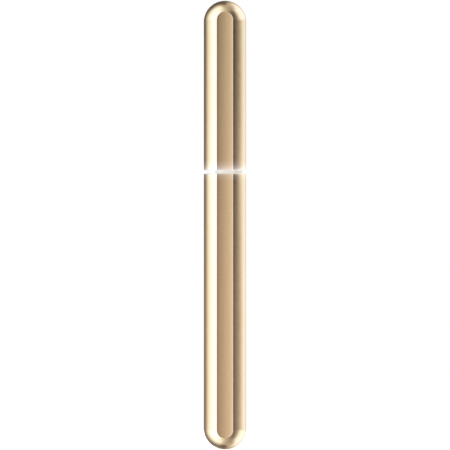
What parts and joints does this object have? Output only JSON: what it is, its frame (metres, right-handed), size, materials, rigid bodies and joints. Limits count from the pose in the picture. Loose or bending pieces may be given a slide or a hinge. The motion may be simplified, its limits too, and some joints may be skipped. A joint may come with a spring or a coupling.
{
  "type": "skin scrubber",
  "caption": "Slim round-ended metal wand with a lit seam: its upper part pulls off a curved ultrasonic spatula blade for cleaning facial skin.",
  "frame": {"origin": "the lowest point of the domed foot, on the wand's axis: the bottom centre of the whole part's box", "axes": "+Z along the wand from the charging end to the cap's tip, +Y towards the back with the two keys, so the front strip faces -Y"},
  "size_m": [0.017, 0.0158, 0.18],
  "materials": {
    "gold_anodised": "satin anodised, warm champagne gold",
    "gold_satin": "fine brushed, champagne gold",
    "gold_soft_touch": "soft-touch TPU moulded in the body colour",
    "light_diffuser": "opal white, lit from behind",
    "white_plastic": "moulded, satin",
    "grey_plastic": "moulded, glass filled",
    "silicone": "translucent white silicone",
    "stainless_steel": "fine polished",
    "machined_aluminium": "turned",
    "piezo_ceramic": "fired, silvered faces",
    "brass": "stamped",
    "nickel": "nickel strip",
    "cell_wrap": "shrink sleeve over a metal can",
    "circuit_board": "solder mask over glass-epoxy",
    "black_resin": "moulded",
    "ferrite": "sintered, wound core",
    "capacitor_sleeve": "sleeved can",
    "led_package": "phosphor-filled package",
    "lead_red": "silicone-insulated wire",
    "lead_black": "silicone-insulated wire",
    "lead_blue": "silicone-insulated wire",
    "lead_white": "silicone-insulated wire",
    "polyimide_film": "copper on amber film"
  },
  "bodies": {
    "handle": {"handle_shell": "gold_anodised", "handle_front_inlay": "gold_satin", "handle_rear_panel": "gold_satin", "port_cover_anchor": "gold_soft_touch", "light_ring": "light_diffuser", "neck_collar": "white_plastic", "cap_spigot": "white_plastic", "inner_chassis": "grey_plastic", "blade_boot": "silicone", "cap_seal_band": "silicone", "isolation_ring": "silicone", "button_gasket": "silicone", "port_gasket": "silicone", "spatula_blade": "stainless_steel", "blade_rivet_lower": "stainless_steel", "blade_rivet_upper": "stainless_steel", "preload_bolt": "stainless_steel", "tail_mass": "stainless_steel", "collar_screw_left": "stainless_steel", "collar_screw_right": "stainless_steel", "power_switch": "stainless_steel", "mode_switch": "stainless_steel", "usb_c_shell": "stainless_steel", "transducer_horn": "machined_aluminium", "piezo_ring_upper": "piezo_ceramic", "piezo_ring_lower": "piezo_ceramic", "electrode_washer": "brass", "battery_tab_positive": "nickel", "battery_tab_negative": "nickel", "battery_cell": "cell_wrap", "main_board": "circuit_board", "port_board": "circuit_board", "led_ring_board": "circuit_board", "control_chip": "black_resin", "usb_c_tongue": "black_resin", "transformer": "ferrite", "filter_capacitor": "capacitor_sleeve", "led_1": "led_package", "led_2": "led_package", "led_3": "led_package", "led_4": "led_package", "battery_lead_red": "lead_red", "led_lead": "lead_red", "battery_lead_black": "lead_black", "piezo_lead_hot": "lead_blue", "piezo_lead_ground": "lead_white", "charge_flex": "polyimide_film"},
    "cap": {"cap_shell": "gold_anodised", "cap_front_inlay": "gold_satin", "cap_rear_inlay": "gold_satin", "cap_liner": "white_plastic"},
    "power_button": {"power_key": "gold_satin", "power_switch_stem": "black_resin"},
    "mode_button": {"mode_key": "gold_satin", "mode_switch_stem": "black_resin"},
    "port_flap": {"port_cover": "gold_soft_touch"}
  },
  "joints": [
    {"name": "cap_slide", "type": "slide", "parent": "handle", "child": "cap", "axis": [0, 0, 1], "range_m": [0, 0.065]},
    {"name": "power_press", "type": "slide", "parent": "handle", "child": "power_button", "axis": [0, -1, 0], "range_m": [0, 0.0003], "stiffness_N_per_m": 400, "springref_m": -0.0005},
    {"name": "mode_press", "type": "slide", "parent": "handle", "child": "mode_button", "axis": [0, -1, 0], "range_m": [0, 0.0003], "stiffness_N_per_m": 400, "springref_m": -0.0005},
    {"name": "port_flap_hinge", "type": "hinge", "parent": "handle", "child": "port_flap", "pos_m": [-0.00565, 0, 0.0021], "axis": [0, 1, 0], "range_deg": [0, 110], "stiffness_Nm_per_rad": 0.0002, "springref_deg": -5.73}
  ]
}
